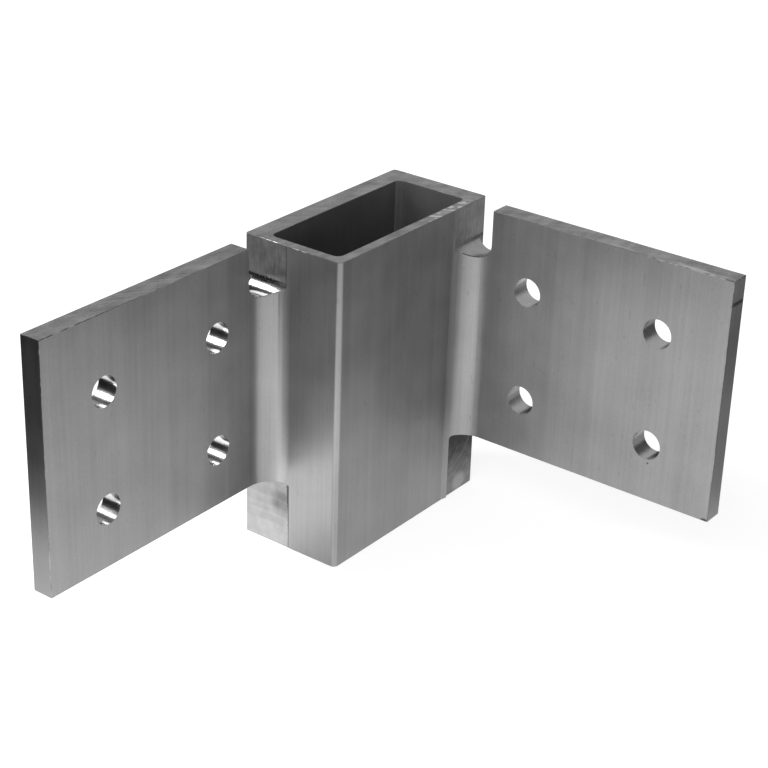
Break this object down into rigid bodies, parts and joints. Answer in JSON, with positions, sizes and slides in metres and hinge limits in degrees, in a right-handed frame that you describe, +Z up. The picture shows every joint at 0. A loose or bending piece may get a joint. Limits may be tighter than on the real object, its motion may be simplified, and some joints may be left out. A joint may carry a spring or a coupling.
{
  "type": "frame corner connector",
  "caption": "Aluminium corner connector: a rectangular post sleeve with two drilled bolt wings at a right angle, joining frame rails and holding a corner post.",
  "frame": {"origin": "centre of the post socket at the sleeve's lower end", "axes": "+Z up the sleeve, +X along the socket's long side away from the left wing, and the right wing points to -Y"},
  "size_m": [0.2277, 0.1769, 0.1397],
  "materials": {
    "mill_aluminium": "mill-finish extrusion with die lines, sawn ends and milled reliefs"
  },
  "bodies": {
    "root": {"post_sleeve": "mill_aluminium", "left_wing": "mill_aluminium", "right_wing": "mill_aluminium"}
  },
  "joints": []
}
